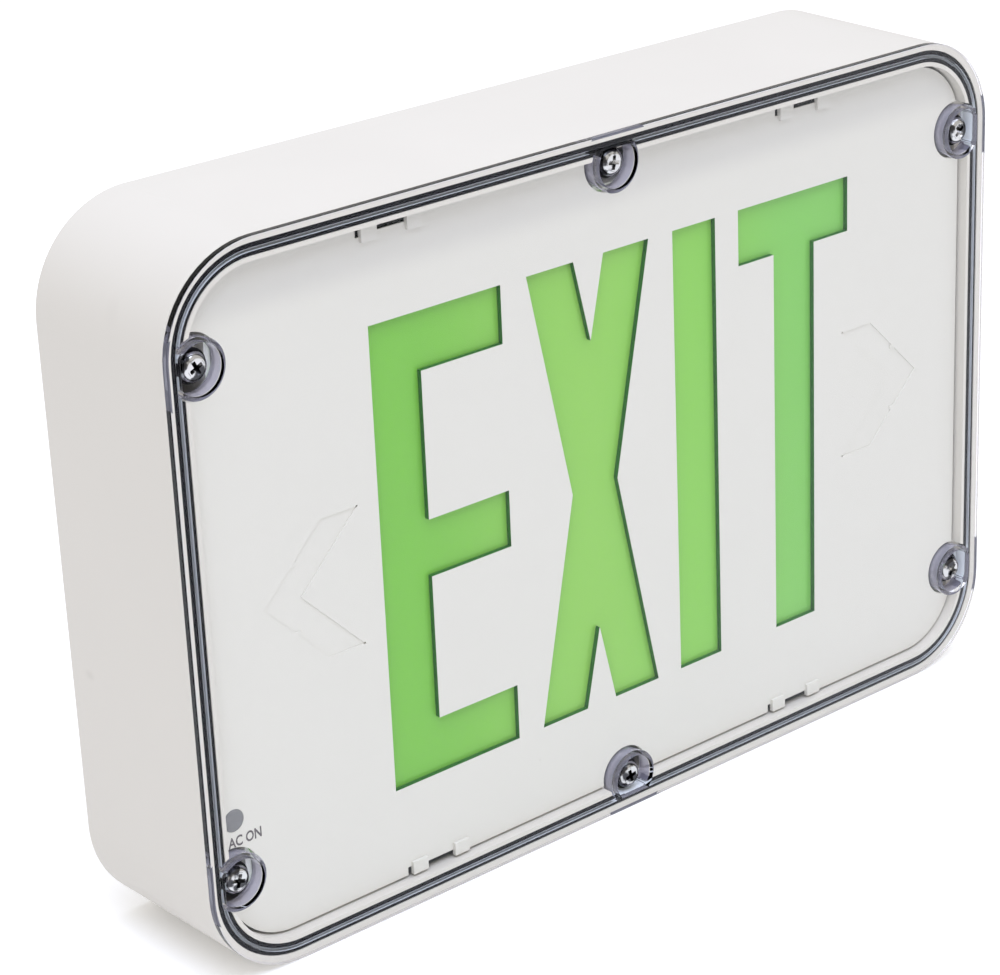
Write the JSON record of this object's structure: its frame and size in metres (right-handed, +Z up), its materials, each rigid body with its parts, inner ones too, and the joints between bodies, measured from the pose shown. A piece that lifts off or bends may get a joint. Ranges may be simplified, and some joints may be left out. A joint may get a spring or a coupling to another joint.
{
  "type": "emergency exit light",
  "caption": "Wall-mounted emergency exit light: off-white deep housing, white stencil faceplate with green EXIT letters, and a clear cover screwed down on a gasket.",
  "frame": {"origin": "centre of the rear face, which lies against the wall, on the axis of the supply entry hole", "axes": "+X to the right of someone who reads the sign, +Y into the wall, +Z up"},
  "size_m": [0.342, 0.066, 0.235],
  "materials": {
    "housing": "off-white moulding, fine matte texture, light dirt",
    "clear_plastic": "clear moulded plastic, glossy, a few scratches and smudges",
    "gasket_rubber": "black, dull",
    "screw_steel": "stainless, slightly worn",
    "brass": "turned",
    "faceplate": "white, smooth, low sheen",
    "green_sheet": "translucent green, evenly lit",
    "tray": "white, reflective",
    "zinc_screw": "zinc plated",
    "circuit_board": "green solder mask",
    "led": "pale yellow resin",
    "transformer": "varnished steel laminations with a taped coil",
    "capacitor": "dark printed sleeve, left blank",
    "relay": "blue case",
    "terminal": "green moulding",
    "battery_sleeve": "yellow shrink sleeve",
    "indicator": "grey translucent, unlit",
    "indicator_led": "red resin",
    "reed_glass": "clear capsule"
  },
  "bodies": {
    "root": {"back_housing": "housing", "clear_cover": "clear_plastic", "cover_gasket": "gasket_rubber", "cover_screws": "screw_steel", "screw_seals": "gasket_rubber", "screw_inserts": "brass", "faceplate": "faceplate", "green_diffuser": "green_sheet", "light_tray": "tray", "tray_screws": "zinc_screw", "led_board_upper": "circuit_board", "led_board_lower": "circuit_board", "leds_upper": "led", "leds_lower": "led", "driver_board": "circuit_board", "driver_screws": "zinc_screw", "transformer": "transformer", "capacitors": "capacitor", "transfer_relay": "relay", "terminal_block": "terminal", "battery_pack": "battery_sleeve", "battery_strap": "zinc_screw", "strap_screws": "zinc_screw", "indicator_lens": "indicator", "indicator_board": "circuit_board", "indicator_led": "indicator_led", "reed_switch": "reed_glass"}
  },
  "joints": []
}
